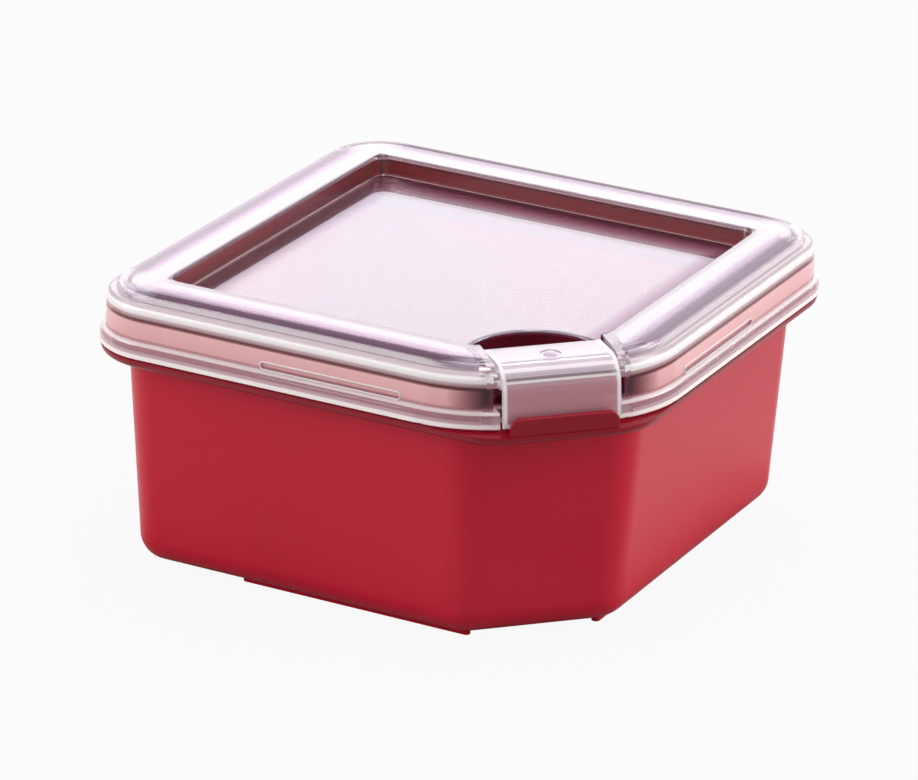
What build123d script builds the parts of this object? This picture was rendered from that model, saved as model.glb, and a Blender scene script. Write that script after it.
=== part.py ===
from build123d import *

import os
from math import atan2, cos, degrees, radians, sin, sqrt, tan

# Square food keeper with one cut corner: tub, clear lid, seal and corner latch.
# Origin: centre of the base on the plane of the foot ribs, +Z up. The cut corner
# is the one at +X, -Y. An inset is a distance inwards from the lid's outer edge.

# Lid plan
lid_half = 80.0
corner_cut = 37.5
lid_corner_r = 20.2
lid_cut_r = 38.0

# Lid section, heights above the lid's lower edge
lid_wall = 1.6
skirt_h = 4.6
skirt_draft = 8.0
skirt_edge_r = 0.9
skirt_lip_r = 0.4
step_inset = 1.5
step_h = 15.0
step_draft = 2.7
step_edge_r = 2.0
rim_inset = 4.6
rim_rise = 1.5
rim_draft = 14.0
rim_edge_r = 0.8
crown_rise = 0.8
crown_w = 4.6
crown_blend_r = 22.0
recess_inset = 19.3
recess_depth = 5.8
recess_draft = 7.0
recess_corner_r = 4.0
recess_cut_r = 14.0
recess_foot_r = 0.9
recess_edge_r = 0.9
seal_seat_drop = 2.1

# Thumb well behind the latch
well_r = 20.0
well_depth = 7.0
well_centre = 21.0
well_front = 14.5
well_corner_r = 3.0
well_foot_r = 2.5
well_edge_r = 0.7

# Saddle for the latch in the lid's cut corner
saddle_half = 18.4
saddle_top_half = 17.2
saddle_foot_half = 16.9
saddle_face = 5.9
saddle_wall = 1.2
saddle_drop = 3.0
saddle_cheek = 2.4

# Tub
base_clear = 1.2
lid_level = 67.2
flange_gap = 0.6
flange_t = 2.6
flange_inset = 0.5
flange_ledge = 4.0
flange_cut_r = 20.0
flange_edge_r = 2.2
tub_wall = 1.8
body_inset = 8.3
body_cut_inset = 8.8
body_corner_r = 12.2
body_cut_r = 16.0
body_draft = 3.4
base_edge_r = 8.0
floor_t = 1.8
foot_inset = 7.269
foot_clear = 7.0
foot_w = 2.4

# Collar of the tub, which the seal presses on
collar_inset = 5.0
collar_cut_inset = 8.2
collar_h = 10.3
collar_corner_r = 15.2
collar_cut_r = 24.0
collar_lip_r = 0.5

# Snap beads on the collar, hooks in the lid and the pockets outside the hooks
snap_clear = 5.26
bead_out = 0.8
bead_h = 1.6
bead_level = 4.4
hook_in = 0.5
hook_h = 1.6
hook_gap = 0.6
pocket_h = 2.2
pocket_depth = 0.6
pocket_edge_r = 0.25
pocket_lift = 0.2

# Seal ring
seal_over = 0.7
seal_under = 0.9
seal_gap = 0.3
seal_seat_gap = 0.1
seal_edge_r = 0.4
rib_gap = 0.3
rib_t = 1.2

# Corner latch
latch_half = 16.4
latch_t = 1.6
latch_foot = 0.9
latch_foot_out = 1.2
latch_face_lean = 2.1
latch_tip = 18.5
latch_top_drop = 0.3
latch_tip_drop = 1.0
latch_bend_r = 7.5
latch_edge_r = 0.6
pivot_inset = 3.9
pivot_drop = 5.1
pivot_r = 1.1
pivot_fit = 0.05
pivot_len = 1.5
bore_spare = 0.2
barrel_r = 1.6
mark_inset = 11.0
mark_r = 2.9
mark_depth = 0.3
dome_r = 1.9

# Catch lug on the tub's ledge and bead on the latch
lug_half = 15.3
lug_t = 1.4
lug_step = 0.4
lug_h = 4.3
lug_corner_r = 2.8
lug_edge_r = 0.45
lug_lip = 0.35
lug_lip_h = 1.1
catch_out = 0.4
catch_h = 1.2
catch_level = 1.6
catch_half = 13.0

# Slack when faces or edges are picked by their level
level_slack = 0.05

# Levels worked out from the sizes above
rim_h = step_h + rim_rise + crown_rise
crown_foot = lid_level + step_h + rim_rise
seal_seat_h = step_h - seal_seat_drop
saddle_h = rim_h - saddle_drop
latch_top_h = rim_h - latch_top_drop
latch_tip_h = rim_h - latch_tip_drop
pivot_h = latch_top_h - pivot_drop
lid_top = lid_level + rim_h
panel_top = lid_top - recess_depth
flange_top = lid_level - flange_gap
flange_bottom = flange_top - flange_t
collar_top = lid_level + collar_h
well_floor = panel_top - well_depth
base_half = lid_half - body_inset - (flange_bottom - base_clear) * tan(radians(body_draft))
foot_line = base_half - foot_inset
foot_len = 2 * (lid_half - corner_cut - foot_clear)
reach = 2 * lid_half
lug_front = lug_step - flange_ledge
corner_x = lid_half - corner_cut / 2
cut_setback = lid_cut_r * tan(radians(45) / 2)
snap_len = 2 * (lid_half - corner_cut - cut_setback - snap_clear)


def outline(inset, corner_r, cut_r, cut_inset):
    """Square face with rounded corners and one cut corner at +X, -Y."""
    half = lid_half - inset
    cut = corner_cut - 2 * inset + sqrt(2) * cut_inset
    Polygon(
        (-half, -half),
        (half - cut, -half),
        (half, cut - half),
        (half, half),
        (-half, half),
        align=None,
    )
    fillet(vertices().sort_by_distance((half, -half))[:2], cut_r)
    fillet(vertices().sort_by_distance((half, -half))[-3:], corner_r)


def lid_outline(inset):
    outline(inset, lid_corner_r - inset, lid_cut_r - inset, inset)


def recess_outline(grow):
    outline(recess_inset - grow, recess_corner_r + grow, recess_cut_r + grow, recess_inset - grow)


def flange_outline():
    outline(flange_inset, lid_corner_r - flange_inset, flange_cut_r, -flange_ledge)


def body_outline(inset):
    outline(body_inset + inset, body_corner_r - inset, body_cut_r - inset, body_cut_inset + inset)


def collar_outline(grow):
    outline(
        collar_inset - grow,
        collar_corner_r + grow,
        collar_cut_r + grow,
        collar_cut_inset - grow,
    )


def corner_deck(level):
    """Level plane at the cut corner: X runs along the cut, Y inwards."""
    return Plane(origin=(corner_x, -corner_x, level), x_dir=(1, 1, 0), z_dir=(0, 0, 1))


def corner_front(inset):
    """Upright plane facing out of the cut corner: X along the cut, Y up from the lid's edge."""
    shift = inset / sqrt(2)
    place = (corner_x - shift, shift - corner_x, lid_level)
    return Plane(origin=place, x_dir=(1, 1, 0), z_dir=(1, -1, 0))


corner_section = Plane(
    origin=(corner_x, -corner_x, lid_level), x_dir=(-1, 1, 0), z_dir=(1, 1, 0)
)


def side_section(angle):
    """Section plane through the middle of one side: X outwards, Y up."""
    a = radians(angle)
    return Plane(origin=(0, 0, 0), x_dir=(cos(a), sin(a), 0), z_dir=(sin(a), -cos(a), 0))


def side_front(angle, distance, level):
    """Upright plane facing out of one side: X along the side, Y up."""
    a = radians(angle)
    place = (distance * cos(a), distance * sin(a), level)
    return Plane(origin=place, x_dir=(-sin(a), cos(a), 0), z_dir=(cos(a), sin(a), 0))


side_angles = (0, 90, 180, 270)


def ridge(edge, out, low, high):
    """Section of a ridge that stands out from a wall at edge, with sloped flanks."""
    slope = abs(out) / 2
    Polygon(
        (edge - out, low),
        (edge, low),
        (edge + out, low + slope),
        (edge + out, high - slope),
        (edge, high),
        (edge - out, high),
        align=None,
    )


# Room inside the tub, and inside its collar
with BuildPart() as tub_room:
    lean = flange_t * tan(radians(body_draft))
    with BuildSketch(Plane.XY.offset(flange_top)):
        body_outline(tub_wall - lean)
    extrude(amount=-(flange_top - base_clear - floor_t), taper=body_draft)
    fillet(tub_room.faces().sort_by(Axis.Z)[0].edges(), base_edge_r - tub_wall)
    with BuildSketch(Plane.XY.offset(flange_top)):
        collar_outline(-tub_wall)
    extrude(amount=reach)

# Catch lug that stands on the flange's ledge at the cut corner
with BuildPart() as lug:
    with BuildSketch(corner_front(lug_front)):
        with Locations((0, (lug_h - flange_gap) / 2)):
            lug_face = Rectangle(2 * lug_half, lug_h + flange_gap)
        fillet(lug_face.vertices().group_by(Axis.Y)[-1], lug_corner_r)
    extrude(amount=-lug_t)
    lug_rim = lug.edges().filter_by(lambda edge: edge.center().Z > lid_level)
    fillet(lug_rim, lug_edge_r)

# Tub: body, flange, collar, foot ribs, snap beads and the catch lug on its ledge
with BuildPart() as tub:
    with BuildSketch(Plane.XY.offset(flange_bottom)):
        body_outline(0)
    extrude(amount=-(flange_bottom - base_clear), taper=body_draft)
    fillet(tub.faces().sort_by(Axis.Z)[0].edges(), base_edge_r)
    with BuildSketch(Plane.XY.offset(flange_bottom)):
        flange_outline()
    extrude(amount=flange_t)
    flange_under = tub.faces().filter_by_position(
        Axis.Z, flange_bottom - level_slack, flange_bottom + level_slack
    )
    fillet(flange_under.sort_by(SortBy.AREA)[-1].outer_wire().edges(), flange_edge_r)
    with BuildSketch(Plane.XY.offset(flange_top)):
        collar_outline(0)
    extrude(amount=collar_top - flange_top)
    add(tub_room.part, mode=Mode.SUBTRACT)
    fillet(tub.faces().sort_by(Axis.Z)[-1].edges(), collar_lip_r)

    for angle in side_angles:
        with BuildSketch(Plane.XY.rotated((0, 0, angle))):
            with Locations((foot_line, 0)):
                SlotOverall(foot_len, foot_w, rotation=90)
        extrude(amount=base_clear + floor_t / 2)
        with BuildSketch(side_section(angle)):
            ridge(
                lid_half - collar_inset,
                bead_out,
                lid_level + bead_level,
                lid_level + bead_level + bead_h,
            )
        extrude(amount=snap_len / 2, both=True)

    add(lug.part)
    with BuildSketch(corner_section):
        ridge(lug_front + lug_t, lug_lip, lug_h - lug_lip_h, lug_h)
    extrude(amount=catch_half, both=True)

tub.part.label = "tub"

# Rib under the lid that holds the seal from inside
with BuildPart() as seal_rib:
    rib_grow = -tub_wall - seal_under - rib_gap
    with BuildSketch(Plane.XY.offset(collar_top + seal_gap)):
        collar_outline(rib_grow)
    extrude(amount=reach)
    with BuildSketch(Plane.XY.offset(collar_top + seal_gap)):
        collar_outline(rib_grow - rib_t)
    extrude(amount=reach, mode=Mode.SUBTRACT)

# Hollow underside of the lid, around the rib, panel, thumb well, saddle and hooks
with BuildPart() as lid_room:
    with BuildSketch(Plane.XY.offset(lid_level)):
        lid_outline(step_inset + lid_wall)
    extrude(amount=seal_seat_h, taper=step_draft)
    with BuildSketch(Plane.XY.offset(lid_level)):
        lid_outline(rim_inset + lid_wall)
    extrude(amount=rim_h - lid_wall, taper=step_draft)
    add(seal_rib.part, mode=Mode.SUBTRACT)
    with BuildSketch(Plane.XY.offset(panel_top - lid_wall)):
        recess_outline(lid_wall)
    extrude(amount=reach, mode=Mode.SUBTRACT)
    with BuildSketch(corner_deck(lid_level)):
        with Locations((0, saddle_face + saddle_wall - reach / 2)):
            Rectangle(2 * (saddle_half + saddle_cheek), reach)
    extrude(amount=reach, mode=Mode.SUBTRACT)
    with BuildSketch(corner_deck(lid_level + seal_seat_h)):
        Rectangle(2 * (saddle_half + saddle_cheek), 2 * recess_inset)
    extrude(amount=reach, mode=Mode.SUBTRACT)
    with BuildSketch(corner_deck(well_floor - lid_wall)):
        with Locations((0, well_centre)):
            Circle(well_r + lid_wall)
        with Locations((0, well_front - lid_wall - reach / 2)):
            Rectangle(reach, reach, mode=Mode.SUBTRACT)
    extrude(amount=reach, mode=Mode.SUBTRACT)
    for angle in side_angles:
        with BuildSketch(side_section(angle)):
            ridge(
                lid_half - step_inset - lid_wall,
                -hook_in,
                lid_level + bead_level - hook_gap - hook_h,
                lid_level + bead_level - hook_gap,
            )
        extrude(amount=snap_len / 2, both=True, mode=Mode.SUBTRACT)

# Recess in the lid's top
with BuildPart() as recess:
    with BuildSketch(Plane.XY.offset(lid_top)):
        recess_outline(0)
    extrude(amount=-recess_depth, taper=recess_draft)
    fillet(recess.faces().sort_by(Axis.Z)[0].edges(), recess_foot_r)

# Thumb well, open to the underside of the latch's inner edge
with BuildPart() as well:
    with BuildSketch(corner_deck(well_floor)):
        with Locations((0, well_centre)):
            Circle(well_r)
        with Locations((0, well_front - reach / 2)):
            Rectangle(reach, reach, mode=Mode.SUBTRACT)
    extrude(amount=well_depth)
    fillet(well.edges().filter_by(Axis.Z), well_corner_r)
    fillet(well.faces().sort_by(Axis.Z)[0].edges(), well_foot_r)
    with BuildSketch(corner_deck(panel_top - well_edge_r)):
        with Locations((0, (well_front + well_centre) / 2)):
            Rectangle(2 * (saddle_top_half - well_corner_r), well_centre - well_front)
    extrude(amount=recess_depth + well_edge_r)

# Lid: stepped skirt and rim around the recessed panel, with a saddle for the latch
with BuildPart() as lid:
    with BuildSketch(Plane.XY.offset(lid_level)):
        lid_outline(0)
    extrude(amount=skirt_h, taper=skirt_draft)
    fillet(lid.faces().sort_by(Axis.Z)[-1].edges(), skirt_edge_r)
    fillet(lid.faces().sort_by(Axis.Z)[0].edges(), skirt_lip_r)
    with BuildSketch(Plane.XY.offset(lid_level)):
        lid_outline(step_inset)
    extrude(amount=step_h, taper=step_draft)
    fillet(lid.faces().sort_by(Axis.Z)[-1].edges(), step_edge_r)
    with BuildSketch(Plane.XY.offset(lid_level + step_h - rim_edge_r)):
        lid_outline(rim_inset)
    extrude(amount=rim_rise + rim_edge_r, taper=rim_draft)
    crown_inset = rim_inset + (rim_rise + rim_edge_r) * tan(radians(rim_draft))
    with BuildSketch(Plane.XY.offset(crown_foot)):
        lid_outline(crown_inset)
    extrude(amount=crown_rise, taper=degrees(atan2(crown_w, crown_rise)))
    fillet(lid.faces().sort_by(Axis.Z)[-1].edges(), crown_blend_r)
    crown_edges = lid.edges().filter_by_position(
        Axis.Z, crown_foot - level_slack, crown_foot + level_slack
    )
    fillet(crown_edges, rim_edge_r)
    add(recess.part, mode=Mode.SUBTRACT)
    rim_inner = lid.faces().sort_by(Axis.Z)[-1].inner_wires()[0].edges()
    fillet(rim_inner, recess_edge_r)
    add(lid_room.part, mode=Mode.SUBTRACT)
    add(well.part, mode=Mode.SUBTRACT)
    well_arc = lid.edges().filter_by(GeomType.CIRCLE).sort_by_distance(
        corner_deck(panel_top).origin + (well_r + well_centre) * corner_section.x_dir
    )
    fillet(well_arc[0], well_edge_r)
    with BuildSketch(corner_deck(lid_level)):
        with Locations((0, saddle_face - reach / 2)):
            Rectangle(2 * saddle_foot_half, reach)
    extrude(amount=reach, mode=Mode.SUBTRACT)
    with BuildSketch(corner_deck(lid_level + skirt_h)):
        with Locations((0, saddle_face - reach / 2)):
            Rectangle(2 * saddle_half, reach)
    extrude(amount=saddle_h - skirt_h, mode=Mode.SUBTRACT)
    with BuildSketch(corner_deck(lid_level + saddle_h)):
        Rectangle(2 * saddle_top_half, 2 * (recess_inset + recess_cut_r))
    extrude(amount=reach, mode=Mode.SUBTRACT)
    with BuildSketch(corner_section):
        with Locations((pivot_inset, pivot_h)):
            Circle(pivot_r + pivot_fit)
    extrude(amount=saddle_half + pivot_len + bore_spare, both=True, mode=Mode.SUBTRACT)
    pocket_lean = (skirt_h + pocket_lift + pocket_h) * tan(radians(step_draft))
    pocket_floor = lid_half - step_inset - pocket_depth - pocket_lean
    pocket_level = lid_level + skirt_h + pocket_lift + pocket_h / 2
    for angle in side_angles:
        with BuildSketch(side_front(angle, lid_half - step_inset, pocket_level)):
            SlotOverall(snap_len, pocket_h)
        extrude(amount=-(pocket_depth + pocket_lean), mode=Mode.SUBTRACT)
        pocket_mouth = lid.edges(Select.LAST).filter_by(
            lambda edge: max(abs(edge.center().X), abs(edge.center().Y)) > pocket_floor + pocket_edge_r
        )
        fillet(pocket_mouth, pocket_edge_r)

lid.part.label = "lid"

# Seal ring above the tub's collar
with BuildPart() as seal_ring:
    seal_top = lid_level + seal_seat_h - seal_seat_gap
    with BuildSketch(Plane.XY.offset(collar_top + seal_gap)):
        collar_outline(seal_over)
    extrude(amount=seal_top - collar_top - seal_gap)
    with BuildSketch(Plane.XY.offset(collar_top + seal_gap)):
        collar_outline(-tub_wall - seal_under)
    extrude(amount=reach, mode=Mode.SUBTRACT)
    seal_flats = seal_ring.faces().filter_by(Axis.Z)
    fillet(seal_flats.edges(), seal_edge_r)

seal_ring.part.label = "seal_ring"

# Corner latch: a bent flap on a hinge barrel whose ends turn in the saddle's cheeks
foot = Vector(-latch_foot_out, latch_foot)
bend = Vector(latch_face_lean - latch_foot_out, latch_top_h)
tip = Vector(latch_tip, latch_tip_h)
face_dir = (bend - foot).normalized()
top_dir = (tip - bend).normalized()
face_in = Vector(face_dir.Y, -face_dir.X)
top_in = Vector(top_dir.Y, -top_dir.X)
bend_in = bend + (face_in + top_in) * (latch_t / (1 + face_in.dot(top_in)))


def latch_face_at(height):
    """Inset of the latch's outer face at a height above the lid's edge."""
    return foot.X + (height - foot.Y) * face_dir.X / face_dir.Y


with BuildPart() as corner_latch:
    with BuildSketch(corner_section):
        Polygon(
            (foot.X, foot.Y),
            (bend.X, bend.Y),
            (tip.X, tip.Y),
            (tip.X + top_in.X * latch_t, tip.Y + top_in.Y * latch_t),
            (bend_in.X, bend_in.Y),
            (foot.X + face_in.X * latch_t, foot.Y + face_in.Y * latch_t),
            align=None,
        )
        fillet(vertices().sort_by_distance(bend_in)[0], latch_bend_r - latch_t)
        fillet(vertices().sort_by_distance(bend)[0], latch_bend_r)
        fillet(vertices().sort_by_distance(tip)[:2], latch_edge_r)
        fillet(vertices().sort_by_distance(foot)[:2], latch_edge_r)
    extrude(amount=latch_half, both=True)
    with BuildSketch(corner_section):
        with Locations((pivot_inset, pivot_h)):
            Circle(barrel_r)
    extrude(amount=latch_half, both=True)
    with BuildSketch(corner_section):
        with Locations((pivot_inset, pivot_h)):
            Circle(pivot_r)
    extrude(amount=saddle_half + pivot_len, both=True)
    with BuildSketch(corner_section):
        catch_mid = catch_level + catch_h / 2
        ridge(latch_face_at(catch_mid), -catch_out, catch_level, catch_level + catch_h)
    extrude(amount=catch_half, both=True)
    mark_point = bend + top_dir * (mark_inset - bend.X)
    mark_place = corner_section.from_local_coords((mark_point.X, mark_point.Y, 0))
    mark_up = Vector(-1, 1, 0).normalized() * -top_in.X + Vector(0, 0, -top_in.Y)
    with BuildSketch(Plane(origin=mark_place, x_dir=(1, 1, 0), z_dir=mark_up)):
        Circle(mark_r)
        Circle(dome_r, mode=Mode.SUBTRACT)
    extrude(amount=-mark_depth, mode=Mode.SUBTRACT)

corner_latch.part.label = "corner_latch"

os.makedirs("parts", exist_ok=True)
export_step(tub.part, "parts/tub.step")
export_step(lid.part, "parts/lid.step")
export_step(seal_ring.part, "parts/seal_ring.step")
export_step(corner_latch.part, "parts/corner_latch.step")
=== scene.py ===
# %% [markdown]
# # A square food keeper with a cut corner
#
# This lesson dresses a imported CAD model: a satin red tub, a clear stepped lid, a soft
# seal ring between them, and a clear latch that hinges over the cut corner.
# The CAD solids stay where they are. Blender adds finishes, small moulded details,
# a floor, lamps and a camera.

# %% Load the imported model
from math import cos, pi, radians, sin, tan

import bmesh
import bpy
from mathutils import Matrix, Vector


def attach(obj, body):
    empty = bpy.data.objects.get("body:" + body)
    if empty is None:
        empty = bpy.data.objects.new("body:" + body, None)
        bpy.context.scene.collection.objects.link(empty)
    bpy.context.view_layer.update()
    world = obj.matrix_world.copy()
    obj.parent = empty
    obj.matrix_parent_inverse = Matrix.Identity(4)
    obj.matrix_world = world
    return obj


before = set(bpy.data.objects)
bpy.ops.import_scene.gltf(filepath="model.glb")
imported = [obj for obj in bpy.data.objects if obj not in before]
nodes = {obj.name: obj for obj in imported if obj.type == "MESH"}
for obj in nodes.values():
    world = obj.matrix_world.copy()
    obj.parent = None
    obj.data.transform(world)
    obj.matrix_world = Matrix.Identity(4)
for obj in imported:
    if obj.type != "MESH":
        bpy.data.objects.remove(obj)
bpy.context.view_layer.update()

MM = 0.001
print("nodes:", sorted(nodes))

# %% [markdown]
# ## Colours and nodes
#
# Colours are written as sRGB hex, as a paint chart gives them, and turned to linear
# values here, because a shader works with linear light.
# One small helper adds a node with its settings and links, so a material reads as a
# list of what it is made of. A mask is a value of 1 at one place and 0 elsewhere.


# %% Colour and node helpers
def linear(hex_code):
    """Linear RGBA from an sRGB hex code."""
    channels = [int(hex_code[i : i + 2], 16) / 255 for i in (1, 3, 5)]
    return [c / 12.92 if c <= 0.04045 else ((c + 0.055) / 1.055) ** 2.4 for c in channels] + [1.0]


def add_node(tree, kind, inputs=None, **settings):
    """A node of one kind. Each of its inputs is linked to a socket or set to a value.

    Settings with a capital are values of inputs too, and the others are properties.
    """
    node = tree.nodes.new("ShaderNode" + kind)
    for name, value in settings.items():
        if name[0].isupper():
            node.inputs[name.replace("_", " ")].default_value = value
        else:
            setattr(node, name, value)
    for name, source in (inputs or {}).items():
        if isinstance(source, bpy.types.NodeSocket):
            tree.links.new(source, node.inputs[name])
        else:
            node.inputs[name].default_value = source
    return node


def new_material(name):
    """An empty node material, its tree and its output node."""
    material = bpy.data.materials.new(name)
    material.use_nodes = True
    tree = material.node_tree
    tree.nodes.clear()
    return material, tree, add_node(tree, "OutputMaterial")


def dress(node_name, material):
    """Gives a CAD node one material over its whole surface."""
    mesh = nodes[node_name].data
    mesh.materials.clear()
    mesh.materials.append(material)
    print(node_name, "wears", material.name)


# %% Masks and colours put together
def product(tree, *values):
    """Product of several values. Of masks it is where all of them hold."""
    result = values[0]
    for value in values[1:]:
        result = add_node(tree, "Math", {0: result, 1: value}, operation="MULTIPLY").outputs[0]
    return result


def largest(tree, *values):
    """The largest of several values. Of masks it is where any of them holds."""
    result = values[0]
    for value in values[1:]:
        result = add_node(tree, "Math", {0: result, 1: value}, operation="MAXIMUM").outputs[0]
    return result


def layered(tree, colour, *layers):
    """Colours laid over a first one, each given with the mask that says where it holds."""
    for mask, over in layers:
        mix = add_node(tree, "Mix", {0: mask, 6: colour, 7: over}, data_type="RGBA")
        colour = mix.outputs[2]
    return colour


# %% Distances on the part, as shader nodes
LID_LEVEL = 67.2 * MM
LID_HALF = 80.0 * MM
LID_HEIGHT = 17.3 * MM
CUT_SHIFT = 6.62 * MM
DIAGONAL = 0.5**0.5


def to_corner(tree, x, y):
    """Distance from the axis towards the cut corner."""
    difference = add_node(tree, "Math", {0: x, 1: y}, operation="SUBTRACT").outputs[0]
    return product(tree, difference, DIAGONAL)


def along_cut(tree, x, y):
    """Distance to either side of the line that runs to the middle of the cut corner."""
    total = add_node(tree, "Math", {0: x, 1: y}, operation="ADD").outputs[0]
    aside = add_node(tree, "Math", {0: total}, operation="ABSOLUTE").outputs[0]
    return product(tree, aside, DIAGONAL)


def outward_distance(tree, x, y):
    """Distance from the axis to the square outline, cut corner included, through a point."""
    sides = [add_node(tree, "Math", {0: side}, operation="ABSOLUTE").outputs[0] for side in (x, y)]
    cut_inputs = {0: to_corner(tree, x, y), 1: CUT_SHIFT}
    cut = add_node(tree, "Math", cut_inputs, operation="SUBTRACT").outputs[0]
    return largest(tree, *sides, cut)


# %% Zones and bands, both given in mm
BEYOND = 160.0


def within(tree, *places):
    """A mask that holds where each distance lies in its zone of low, high and soft edge."""
    masks = []
    for distance, zone in places:
        low, high, soft = (size * MM for size in zone)
        rise = add_node(tree, "MapRange", {"Value": distance}, From_Min=low - soft, From_Max=low)
        ends = {"From_Min": high, "From_Max": high + soft, "To_Min": 1.0, "To_Max": 0.0}
        fall = add_node(tree, "MapRange", {"Value": distance}, **ends)
        masks.append(product(tree, rise.outputs["Result"], fall.outputs["Result"]))
    return product(tree, *masks)


def banded(tree, distance, bands, span):
    """Haze and tint along a distance, from rows of a place in mm, a haze share and a tint."""
    share = add_node(tree, "Math", {0: distance, 1: span}, operation="DIVIDE").outputs[0]
    sockets = []
    for tints in (False, True):
        node = add_node(tree, "ValToRGB", {"Fac": share})
        ramp = node.color_ramp
        while len(ramp.elements) < len(bands):
            ramp.elements.new(0.5)
        for element, (place, haze, tint) in zip(ramp.elements, bands):
            element.position = place * MM / span
            element.color = linear(tint) if tints else (haze, haze, haze, 1)
        sockets.append(node.outputs["Color"])
    return sockets


# %% [markdown]
# ## Satin red polypropylene
#
# The tub is injection moulded polypropylene in a deep red. Its mould is lightly etched,
# so highlights are broad and soft, and the walls look paler where they are seen at a
# slant. Thick corners and thin walls cool at different speeds, which leaves a very faint
# drift of colour. The etch is about 0.05 mm in real life and is drawn at 0.4 mm, so
# that it can be seen at all. The flange and the lug sit under the lid's edge, and their
# red is painted deeper as shade.

# %% Red tub plastic
ETCH_MM = 0.4
ETCH_DEPTH = 0.05 * MM
FLANGE_MIDDLE, FLANGE_REACH = 65.3 * MM, 1.5 * MM
LUG_OUT = (79.0, BEYOND, 0.1)
LUG_RISE = (66.2, 71.7, 0.1)
TUB_IOR = 1.49
red_pp, tree, out = new_material("satin_red_polypropylene")
coords = {"Vector": add_node(tree, "TexCoord").outputs["Object"]}
drift = add_node(tree, "TexNoise", coords, Scale=14.0, Detail=2.0)
red = add_node(tree, "ValToRGB", {"Fac": drift.outputs["Fac"]})
red.color_ramp.elements[0].position = 0.3
red.color_ramp.elements[0].color = linear("#BA0C2A")
red.color_ramp.elements[1].position = 0.7
red.color_ramp.elements[1].color = linear("#C20F2E")
etch = add_node(tree, "TexNoise", coords, Scale=1 / (ETCH_MM * MM), Detail=1.0)
gloss = add_node(tree, "MapRange", {"Value": etch.outputs["Fac"]}, To_Min=0.30, To_Max=0.38)
etch_bump = add_node(
    tree, "Bump", {"Height": etch.outputs["Fac"]}, Strength=0.06, Distance=ETCH_DEPTH
)
place = add_node(tree, "SeparateXYZ", coords).outputs
flange_inputs = {0: place["Z"], 1: FLANGE_MIDDLE, 2: FLANGE_REACH}
flange = add_node(tree, "Math", flange_inputs, operation="COMPARE").outputs[0]
outward = outward_distance(tree, place["X"], place["Y"])
lug = within(tree, (outward, LUG_OUT), (place["Z"], LUG_RISE))
# Painted shade: the flange and the lug under the lid's edge are given a deeper red.
flange_and_lug_shade = largest(tree, flange, lug)
colour = layered(tree, red.outputs["Color"], (flange_and_lug_shade, linear("#8A051C")))
body = add_node(
    tree,
    "BsdfPrincipled",
    {
        "Base Color": colour,
        "Roughness": gloss.outputs["Result"],
        "Normal": etch_bump.outputs["Normal"],
    },
    IOR=TUB_IOR,
    Specular_IOR_Level=0.3,
)
tree.links.new(body.outputs["BSDF"], out.inputs["Surface"])
dress("tub", red_pp)

# %% [markdown]
# ## Clear copolyester
#
# The lid and latch are moulded in a clear plastic with a trace of lilac. Each solid is
# hollow and has real wall thickness, so a refracting shader bends light at both faces
# of each wall, as the real one does. Light that enters a clear wall runs along inside it
# and leaves at rims, steps and cut edges, which is why those look white. Here a share of
# milky haze stands for that glow, and a tint for the red that shows through.
# Shadow and diffuse rays pass straight through, since a path tracer seldom finds a lamp
# through a refracting wall, and the inside would go black.


# %% Clear plastic
CLEAR_IOR = 1.55
RIPPLE_DEPTH = 0.2 * MM


def clear_plastic(name):
    """Clear moulded plastic: material, tree, position, colour and transmission sockets."""
    material, tree, out = new_material(name)
    coords = {"Vector": add_node(tree, "TexCoord").outputs["Object"]}
    place = add_node(tree, "SeparateXYZ", coords)
    flow = add_node(tree, "TexNoise", coords, Scale=22.0, Detail=1.0)
    ripple = add_node(
        tree, "Bump", {"Height": flow.outputs["Fac"]}, Strength=0.12, Distance=RIPPLE_DEPTH
    )
    scuff = add_node(tree, "TexNoise", coords, Scale=900.0, Detail=3.0)
    gloss = add_node(tree, "MapRange", {"Value": scuff.outputs["Fac"]}, To_Min=0.02, To_Max=0.07)
    plastic = add_node(
        tree,
        "BsdfPrincipled",
        {"Roughness": gloss.outputs["Result"], "Normal": ripple.outputs["Normal"]},
        IOR=CLEAR_IOR,
    )
    through = add_node(tree, "BsdfTransparent", Color=linear("#DCD4DE"))
    path = add_node(tree, "LightPath").outputs
    passes = largest(tree, path["Is Shadow Ray"], path["Is Diffuse Ray"])
    shaders = {0: passes, 1: plastic.outputs["BSDF"], 2: through.outputs["BSDF"]}
    mix = add_node(tree, "MixShader", shaders)
    tree.links.new(mix.outputs["Shader"], out.inputs["Surface"])
    sockets = plastic.inputs
    return material, tree, place.outputs, sockets["Base Color"], sockets["Transmission Weight"]


def set_haze(tree, haze, transmission):
    """Haze and transmission share the light between them."""
    rest = add_node(tree, "Math", {0: 1.0, 1: haze}, operation="SUBTRACT")
    tree.links.new(rest.outputs[0], transmission)


# %% [markdown]
# ## Lid finish
#
# Each list goes along one distance: up the outer wall from the lid's lower edge, outwards
# over the rim's top, and outwards over the sunk panel. A row is a place in mm, a share of
# haze and a tint. The rows paint light and shade: the white rows are painted highlights
# and edge glow, the pink rows are painted red glow from the tub behind, and the dark rows
# are a painted shadow line under the shoulder, a painted dark reflection on the rim's top
# and painted shade at the panel's edge.

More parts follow.
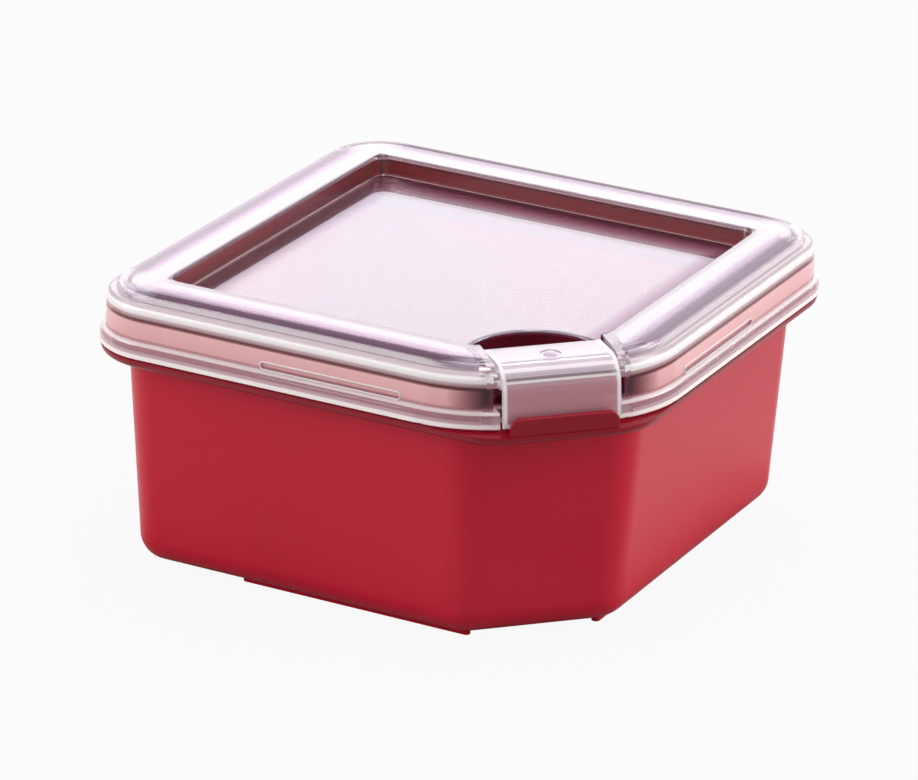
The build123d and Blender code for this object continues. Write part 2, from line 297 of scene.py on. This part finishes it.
# %% Lid bands
LID_BANDS = (
    # painted glow and highlight on the lower lip
    (0.0, 0.80, "#FFF6F4"),
    (1.3, 0.72, "#FFF6F4"),
    (1.7, 0.22, "#E2BCC4"),
    (3.8, 0.24, "#E2BCC4"),
    (4.1, 0.60, "#FFF2F0"),
    (4.6, 0.50, "#FFF2F0"),
    (4.9, 0.24, "#D8A4A8"),
    # painted red glow from the tub's collar behind the wall
    (5.8, 0.66, "#F4BABC"),
    (10.2, 0.68, "#F6C4C4"),
    # painted shadow line where the collar's top meets the seal
    (10.5, 0.06, "#8A4450"),
    (11.1, 0.06, "#8A4450"),
    (11.4, 0.30, "#E6C2C4"),
    (12.2, 0.34, "#EAD2D4"),
    # painted highlight on the shoulder's rounding
    (12.6, 0.70, "#FFFAF8"),
    (14.1, 0.70, "#FFFAF8"),
    (14.5, 0.24, "#D8CCCA"),
    (15.1, 0.20, "#CFC2C4"),
    (15.4, 0.55, "#FFFAFA"),
    (16.2, 0.10, "#F6EEF6"),
)
TOP_BANDS = (
    # painted highlight on the rim's top, beside the recess
    (60.6, 0.34, "#F6F2F8"),
    (66.5, 0.30, "#F4EEF8"),
    # painted dark reflection on the outer part of the rim's top
    (69.0, 0.16, "#D3B4D0"),
    (71.6, 0.04, "#6E1E58"),
    (74.0, 0.03, "#560A40"),
    # painted glow on the rim's outer edge
    (74.9, 0.50, "#FFFAFC"),
)
PANEL_BANDS = (
    (0.0, 0.15, "#F5F3F8"),
    (48.5, 0.15, "#F3F0F8"),
    # painted shade: the tub's dark inside seen through the panel's edge, and the recess wall
    # mirrored in it
    (53.0, 0.08, "#C79DBE"),
    (56.5, 0.03, "#742C50"),
    (59.6, 0.02, "#5A1028"),
)
print("lid bands:", len(LID_BANDS), len(TOP_BANDS), len(PANEL_BANDS))

# %% Lid plastic and where each list holds
ON_WALL = (66.0, BEYOND, 3.0)
ON_CREST = (15.5, BEYOND, 0.3)
IN_RECESS = (-80.0, 60.6, 0.6)
lid_clear, tree, place, tint, transmission = clear_plastic("clear_lilac_copolyester")
height = add_node(tree, "Math", {0: place["Z"], 1: LID_LEVEL}, operation="SUBTRACT").outputs[0]
outward = outward_distance(tree, place["X"], place["Y"])
along = along_cut(tree, place["X"], place["Y"])
corner = to_corner(tree, place["X"], place["Y"])
wall_haze, wall_tint = banded(tree, height, LID_BANDS, LID_HEIGHT)
top_haze, top_tint = banded(tree, outward, TOP_BANDS, LID_HALF)
panel_haze, panel_tint = banded(tree, outward, PANEL_BANDS, LID_HALF)
wall = within(tree, (outward, ON_WALL))
crest = within(tree, (height, ON_CREST))
inside = within(tree, (outward, IN_RECESS))
print("lid plastic has", len(tree.nodes), "nodes so far")

# %% [markdown]
# Some places differ from the lists. The purple band on the rim's top, a painted dark
# reflection, lies on the long straight runs and stops before the corners. The recess has a
# pale wall, and its thumb well is painted a dark crimson as the shade inside it. At the
# latch, the two cheeks of the saddle glow, and the wall beside the latch is painted darker
# as shade.

# %% Rim corners, recess and thumb well, with zones in mm
RUN_ENDS = (62.0, BEYOND, 5.0)
CUT_ENDS = (77.0, BEYOND, 3.0)
RECESS_WALL = (59.6, 62.4, 0.4)
RECESS_RISE = (11.8, 16.5, 0.6)
WELL_CENTRE = 65.6 * MM
WELL_REACH = (0.0, 20.4, 0.3)
WELL_RISE = (0.0, 10.9, 0.4)
sides = [add_node(tree, "Math", {0: place[axis]}, operation="ABSOLUTE") for axis in "XY"]
run_inputs = {index: side.outputs[0] for index, side in enumerate(sides)}
run = add_node(tree, "Math", run_inputs, operation="MINIMUM").outputs[0]
bends = largest(tree, within(tree, (run, RUN_ENDS)), within(tree, (corner, CUT_ENDS)))
deep_wall = within(tree, (outward, RECESS_WALL), (height, RECESS_RISE))
to_well = add_node(tree, "Math", {0: corner, 1: WELL_CENTRE}, operation="SUBTRACT").outputs[0]
squares = {0: product(tree, to_well, to_well), 1: product(tree, along, along)}
square = add_node(tree, "Math", squares, operation="ADD").outputs[0]
from_centre = add_node(tree, "Math", {0: square}, operation="SQRT").outputs[0]
# Painted shade: the thumb well is darkened to the crimson of its shaded inside.
well = within(tree, (from_centre, WELL_REACH), (height, WELL_RISE))
print("recess and thumb well, now", len(tree.nodes), "nodes")

# %% Lid wall at the latch, with zones in mm
CHEEK_SIDE = (16.8, 19.2, 0.4)
CHEEK_OUT = (68.62, BEYOND, 1.0)
BESIDE_LATCH = (0.0, 20.0, 10.0)
BEHIND_FACE = (5.6, 10.6, 0.6)
NEAR_CORNER = (60.0, BEYOND, 5.0)
cheek = within(tree, (along, CHEEK_SIDE), (corner, CHEEK_OUT))
# Painted shade: the lid's wall beside the latch is made darker and deep maroon.
latch_wall_shade = within(tree, (along, BESIDE_LATCH), (height, BEHIND_FACE), (corner, NEAR_CORNER))
print("wall at the latch, now", len(tree.nodes), "nodes")

# %% [markdown]
# The haze and the tint are put together from the outer wall inwards, each place over the
# ones before it. A haze of one place is written as a grey, so that it can be blended.

# %% Haze and tint of the lid
CHEEK_HAZE = 0.35
wall_haze = layered(tree, wall_haze, (latch_wall_shade, linear("#383838")))
haze = layered(
    tree,
    linear("#080808"),
    (wall, wall_haze),
    (crest, top_haze),
    (inside, panel_haze),
    (deep_wall, linear("#484848")),
)
haze = largest(tree, haze, product(tree, cheek, CHEEK_HAZE))
wall_tint = layered(tree, wall_tint, (latch_wall_shade, linear("#7A2444")))
top_tint = layered(tree, top_tint, (bends, linear("#F4EEF6")))
colour = layered(
    tree,
    linear("#F6EEF6"),
    (wall, wall_tint),
    (crest, top_tint),
    (inside, panel_tint),
    (deep_wall, linear("#DBA2A6")),
    # painted shade in the thumb well
    (well, linear("#6A1A30")),
)
tree.links.new(colour, tint)
set_haze(tree, haze, transmission)
dress("lid", lid_clear)

# %% [markdown]
# ## Latch finish
#
# The latch is the same plastic. Its two cut sides and its lower lip glow, its middle is
# clearer, and the bend between its top and its face gathers light in a broad band.

# %% Latch finish
CUT_SIDES = (15.5, 17.0, 0.3)
SHOULDER = (14.5, 16.3, 1.5)
LOWER_LIP = (0.0, 1.8, 0.6)
LOWER_BEND, UPPER_BEND = (12.9, 13.3, 0.3), (15.3, 15.8, 0.3)
FACE = (1.8, 11.0, 2.4)
HEIGHT_ZONES = (SHOULDER, LOWER_LIP, LOWER_BEND, UPPER_BEND, FACE)
BASE_HAZE, FACE_HAZE, SHOULDER_HAZE, EDGE_HAZE = 0.12, 0.24, 0.28, 0.6
latch_clear, tree, place, tint, transmission = clear_plastic("clear_latch_copolyester")
height = add_node(tree, "Math", {0: place["Z"], 1: LID_LEVEL}, operation="SUBTRACT").outputs[0]
sides = within(tree, (along_cut(tree, place["X"], place["Y"]), CUT_SIDES))
shoulder, lip, *bends, face = (within(tree, (height, zone)) for zone in HEIGHT_ZONES)
edges = largest(tree, sides, lip, *bends)
# Painted light: the face's pink is painted red glow from the tub behind, and the white edges are
# painted glow.
colour = layered(tree, linear("#EDE3E9"), (face, linear("#EBAEB8")), (edges, linear("#FFFAFA")))
tree.links.new(colour, tint)
face_inputs = {0: product(tree, face, FACE_HAZE), 1: BASE_HAZE}
face_haze = add_node(tree, "Math", face_inputs, operation="ADD").outputs[0]
shoulder_haze = product(tree, shoulder, SHOULDER_HAZE)
haze = largest(tree, face_haze, shoulder_haze, product(tree, edges, EDGE_HAZE))
set_haze(tree, haze, transmission)
dress("corner_latch", latch_clear)

# %% [markdown]
# ## Outlines of the snap windows
#
# In the middle of each side the lid has a shallow window over its snap hook. Its rolled
# edge is a thin bead, given a milky white as painted glow of its clear edge. A bead of this
# shape is a torus pulled apart: a small torus is added, the half on one side is moved
# along, and the straight runs stretch between. It is then stood up against the sloping
# wall. One is modelled and the other three are copies, each with a mesh of its own.

# %% One window bead
WINDOW_LENGTH, WINDOW_HEIGHT = 43.0 * MM, 2.2 * MM
WINDOW_RISE = 5.9 * MM
WALL_STEP, WALL_LEAN = 1.5 * MM, radians(2.7)
WALL_OUT = LID_HALF - WALL_STEP - WINDOW_RISE * tan(WALL_LEAN)
BEAD_RADIUS = 0.22 * MM
ON_AXIS = 0.001 * MM


def select_where(obj, test):
    """Selects the vertices of obj, in edit mode, whose place passes a test."""
    mesh = bmesh.from_edit_mesh(obj.data)
    for vertex in mesh.verts:
        vertex.select = test(vertex.co)
    mesh.select_flush_mode()
    bmesh.update_edit_mesh(obj.data)


bpy.ops.object.select_all(action="DESELECT")
bpy.ops.mesh.primitive_torus_add(
    major_radius=WINDOW_HEIGHT / 2, minor_radius=BEAD_RADIUS, major_segments=40, minor_segments=12
)
bead = bpy.context.object
bead.name = "snap_window_bead_1"
bpy.ops.object.mode_set(mode="EDIT")
bpy.ops.mesh.select_all(action="DESELECT")
half_run = (WINDOW_LENGTH - WINDOW_HEIGHT) / 2
for way in (1, -1):
    select_where(bead, lambda co: co.x * way > ON_AXIS)
    bpy.ops.transform.translate(value=(half_run * way, 0, 0))
bpy.ops.object.mode_set(mode="OBJECT")
bpy.ops.object.shade_smooth()
print("window bead:", [round(d / MM, 1) for d in bead.dimensions], "mm")

# %% The four window beads
# Painted glow: the bead is a milky white that stands for the light its clear edge gives off.
edge_glow_white, tree, out = new_material("copolyester_edge_painted_glow")
coords = {"Vector": add_node(tree, "TexCoord").outputs["Object"]}
grain = add_node(tree, "TexNoise", coords, Scale=1500.0, Detail=1.0)
dull = add_node(tree, "MapRange", {"Value": grain.outputs["Fac"]}, To_Min=0.12, To_Max=0.3)
edge = add_node(
    tree,
    "BsdfPrincipled",
    {"Roughness": dull.outputs["Result"]},
    Base_Color=linear("#FBF4F3"),
    Transmission_Weight=0.25,
    IOR=CLEAR_IOR,
)
tree.links.new(edge.outputs["BSDF"], out.inputs["Surface"])
bead.data.materials.append(edge_glow_white)

beads = [bead]
for count in (2, 3, 4):
    piece = bead.copy()
    piece.data = bead.data.copy()
    piece.name = f"snap_window_bead_{count}"
    bpy.context.scene.collection.objects.link(piece)
    beads.append(piece)
for quarter, piece in enumerate(beads):
    stand = Matrix.Rotation(quarter * pi / 2, 4, "Z")
    stand = stand @ Matrix.Translation((0, -WALL_OUT, LID_LEVEL + WINDOW_RISE))
    stand = stand @ Matrix.Rotation(pi / 2 - WALL_LEAN, 4, "X")
    piece.data.transform(stand)
    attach(piece, "lid")
print("window beads placed")

# %% [markdown]
# ## Dome on the latch
#
# The round mark near the latch's inner edge has a low dome in its middle. It is the cap
# of a flattened sphere, set on the latch's sloping top.

# %% Latch dome
DOME_RADIUS, DOME_RISE = 1.75 * MM, 0.22 * MM
TOP_LEAN = radians(2.3)
DOME_INSET, DOME_LEVEL = 11.0 * MM, LID_LEVEL + 16.58 * MM
CUT_MIDDLE = 61.25 * MM
bpy.ops.object.select_all(action="DESELECT")
bpy.ops.mesh.primitive_uv_sphere_add(segments=48, ring_count=24, radius=DOME_RADIUS)
dome = bpy.context.object
dome.name = "latch_mark_dome"
bpy.ops.object.mode_set(mode="EDIT")
bpy.ops.mesh.select_all(action="SELECT")
bpy.ops.transform.resize(value=(1, 1, DOME_RISE / DOME_RADIUS))
bpy.ops.object.mode_set(mode="OBJECT")
bpy.ops.object.shade_smooth()
dome_out = CUT_MIDDLE - DOME_INSET * DIAGONAL
dome_stand = Matrix.Translation((dome_out, -dome_out, DOME_LEVEL))
dome_stand = dome_stand @ Matrix.Rotation(TOP_LEAN, 4, Vector((1, 1, 0)))
dome.data.transform(dome_stand)
dome.data.materials.append(latch_clear)
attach(dome, "latch")
print("latch dome:", [round(d / MM, 2) for d in dome.dimensions], "mm")

# %% [markdown]
# ## Silicone seal
#
# The seal ring is soft translucent silicone, white through its thickness with a dull
# skin. The clear lid lies over it, and it shows only as a pale band behind the shoulder.

# %% Seal silicone
SILICONE_IOR = 1.41
silicone, tree, out = new_material("translucent_white_silicone")
coords = {"Vector": add_node(tree, "TexCoord").outputs["Object"]}
bloom = add_node(tree, "TexNoise", coords, Scale=120.0, Detail=2.0)
dull = add_node(tree, "MapRange", {"Value": bloom.outputs["Fac"]}, To_Min=0.42, To_Max=0.58)
skin = add_node(
    tree,
    "BsdfPrincipled",
    {"Roughness": dull.outputs["Result"]},
    Base_Color=linear("#F1ECEF"),
    Transmission_Weight=0.35,
    IOR=SILICONE_IOR,
)
tree.links.new(skin.outputs["BSDF"], out.inputs["Surface"])
dress("seal_ring", silicone)

# %% [markdown]
# ## Floor, light and camera
#
# The floor is a plain white sweep. It shows white to the camera and keeps a trace of the
# object's shadow. The satin walls mirror the floor, so what they mirror is set as a
# studio sets it: bright on the left and right, a dark card before the cut corner, and
# dark close to the part, where its own shadow lies.

# %% Floor
FLOOR_SIZE, FLOOR_DROP = 8.0, 0.02 * MM
CARD_ANGLE = radians(-27)
UNDER_CARD = (115.0, 1000.0, 30.0)
CLEAR_OF_PART = (96.0, 8000.0, 22.0)
SEEN_WHITE, MIRRORED_WHITE = 0.93, 0.96
bpy.ops.object.select_all(action="DESELECT")
bpy.ops.mesh.primitive_plane_add(size=FLOOR_SIZE, location=(0, 0, -FLOOR_DROP))
floor = bpy.context.object
floor.name = "floor"
floor_white, tree, out = new_material("white_paper_sweep")
paper = add_node(tree, "BsdfDiffuse", Color=linear("#ACACAC"))
shine = add_node(tree, "Emission", Strength=1.0)
path = add_node(tree, "LightPath").outputs
seen = largest(tree, path["Is Camera Ray"], path["Is Transmission Ray"])
coords = {"Vector": add_node(tree, "TexCoord").outputs["Object"]}
spot = add_node(tree, "SeparateXYZ", coords).outputs
ahead_inputs = {
    0: product(tree, spot["X"], cos(CARD_ANGLE)),
    1: product(tree, spot["Y"], sin(CARD_ANGLE)),
}
ahead_of_cut = add_node(tree, "Math", ahead_inputs, operation="ADD").outputs[0]
card = within(tree, (ahead_of_cut, UNDER_CARD))
no_card = add_node(tree, "Math", {0: 1.0, 1: card}, operation="SUBTRACT").outputs[0]
clear_of_part = within(tree, (outward_distance(tree, spot["X"], spot["Y"]), CLEAR_OF_PART))
gleam = product(tree, no_card, clear_of_part, path["Is Glossy Ray"], MIRRORED_WHITE)
white = largest(tree, product(tree, seen, SEEN_WHITE), gleam)
shaders = {0: white, 1: paper.outputs["BSDF"], 2: shine.outputs["Emission"]}
mix = add_node(tree, "MixShader", shaders)
tree.links.new(mix.outputs["Shader"], out.inputs["Surface"])
floor.data.materials.append(floor_white)
print("floor:", FLOOR_SIZE, "m")

# %% World, brighter towards one side
BRIGHT_SIDE = (-0.3, 0.75, 0.59)
FAR_LEVEL, BRIGHT_LEVEL = 0.52, 0.90
world = bpy.data.worlds.new("studio")
bpy.context.scene.world = world
world.use_nodes = True
tree = world.node_tree
tree.nodes.clear()
out = add_node(tree, "OutputWorld")
coords = add_node(tree, "TexCoord")
facing_inputs = {0: coords.outputs["Generated"], 1: BRIGHT_SIDE}
facing = add_node(tree, "VectorMath", facing_inputs, operation="DOT_PRODUCT")
level = add_node(
    tree,
    "MapRange",
    {"Value": facing.outputs["Value"]},
    From_Min=-1.0,
    To_Min=FAR_LEVEL,
    To_Max=BRIGHT_LEVEL,
)
room = add_node(tree, "Background", {"Strength": level.outputs["Result"]}, Color=(1, 1, 1, 1))
white = add_node(tree, "Background", Strength=1.0, Color=(1, 1, 1, 1))
seen = add_node(tree, "LightPath").outputs["Is Camera Ray"]
shaders = {0: seen, 1: room.outputs["Background"], 2: white.outputs["Background"]}
mix = add_node(tree, "MixShader", shaders)
tree.links.new(mix.outputs["Shader"], out.inputs["Surface"])
print("world:", world.name)

# %% Lamps
AIM = Vector((0, 0, 0.05))


def softbox(name, place, width, height, brightness, tint="#FFFFFF"):
    """A rectangular lamp at place that faces the object, of one brightness all over."""
    lamp_data = bpy.data.lights.new(name, "AREA")
    lamp_data.shape = "RECTANGLE"
    lamp_data.size = width
    lamp_data.size_y = height
    lamp_data.energy = brightness * pi * width * height
    lamp_data.color = linear(tint)[:3]
    lamp = bpy.data.objects.new(name, lamp_data)
    bpy.context.scene.collection.objects.link(lamp)
    lamp.location = place
    lamp.rotation_euler = (AIM - Vector(place)).to_track_quat("-Z", "Y").to_euler()
    print(name, round(lamp_data.energy, 1), "W")


softbox("back_box", (-0.75, 1.45, 0.72), 1.5, 0.8, 1.7, "#F8F3FF")
softbox("top_strip", (0.15, 0.1, 1.5), 1.3, 0.3, 5.5)
softbox("left_box", (-1.25, -1.1, 0.75), 0.8, 0.9, 5.6)
softbox("right_box", (1.4, 0.95, 0.6), 0.9, 0.9, 7.0)

# %% Camera, solved from the corners of the lid and tub in the photo
AZIMUTH = radians(27.208)
ELEVATION = radians(21.941)
ROLL = radians(1.623)
DISTANCE = 1507.995 * MM
FOCAL_PIXELS, PHOTO_WIDTH, SENSOR = 5380.569, 918, 36
SHIFT_RIGHT, SHIFT_UP = -1.042 * MM, -22.06 * MM
right = Vector((cos(AZIMUTH), sin(AZIMUTH), 0))
ahead = Vector((-sin(AZIMUTH) * cos(ELEVATION), cos(AZIMUTH) * cos(ELEVATION), -sin(ELEVATION)))
up = right.cross(ahead)
target = Vector((0, 0, LID_LEVEL)) + right * SHIFT_RIGHT + up * SHIFT_UP
camera_x = right * cos(ROLL) + up * sin(ROLL)
camera_y = up * cos(ROLL) - right * sin(ROLL)
camera_data = bpy.data.cameras.new("camera")
camera_data.lens = FOCAL_PIXELS / PHOTO_WIDTH * SENSOR
camera_data.sensor_width = SENSOR
camera = bpy.data.objects.new("camera", camera_data)
bpy.context.scene.collection.objects.link(camera)
turn = Matrix((camera_x, camera_y, -ahead)).transposed()
camera.matrix_world = Matrix.Translation(target - ahead * DISTANCE) @ turn.to_4x4()
bpy.context.scene.camera = camera
bpy.context.scene.view_settings.view_transform = "Standard"
print("camera at", [round(c, 3) for c in camera.location])
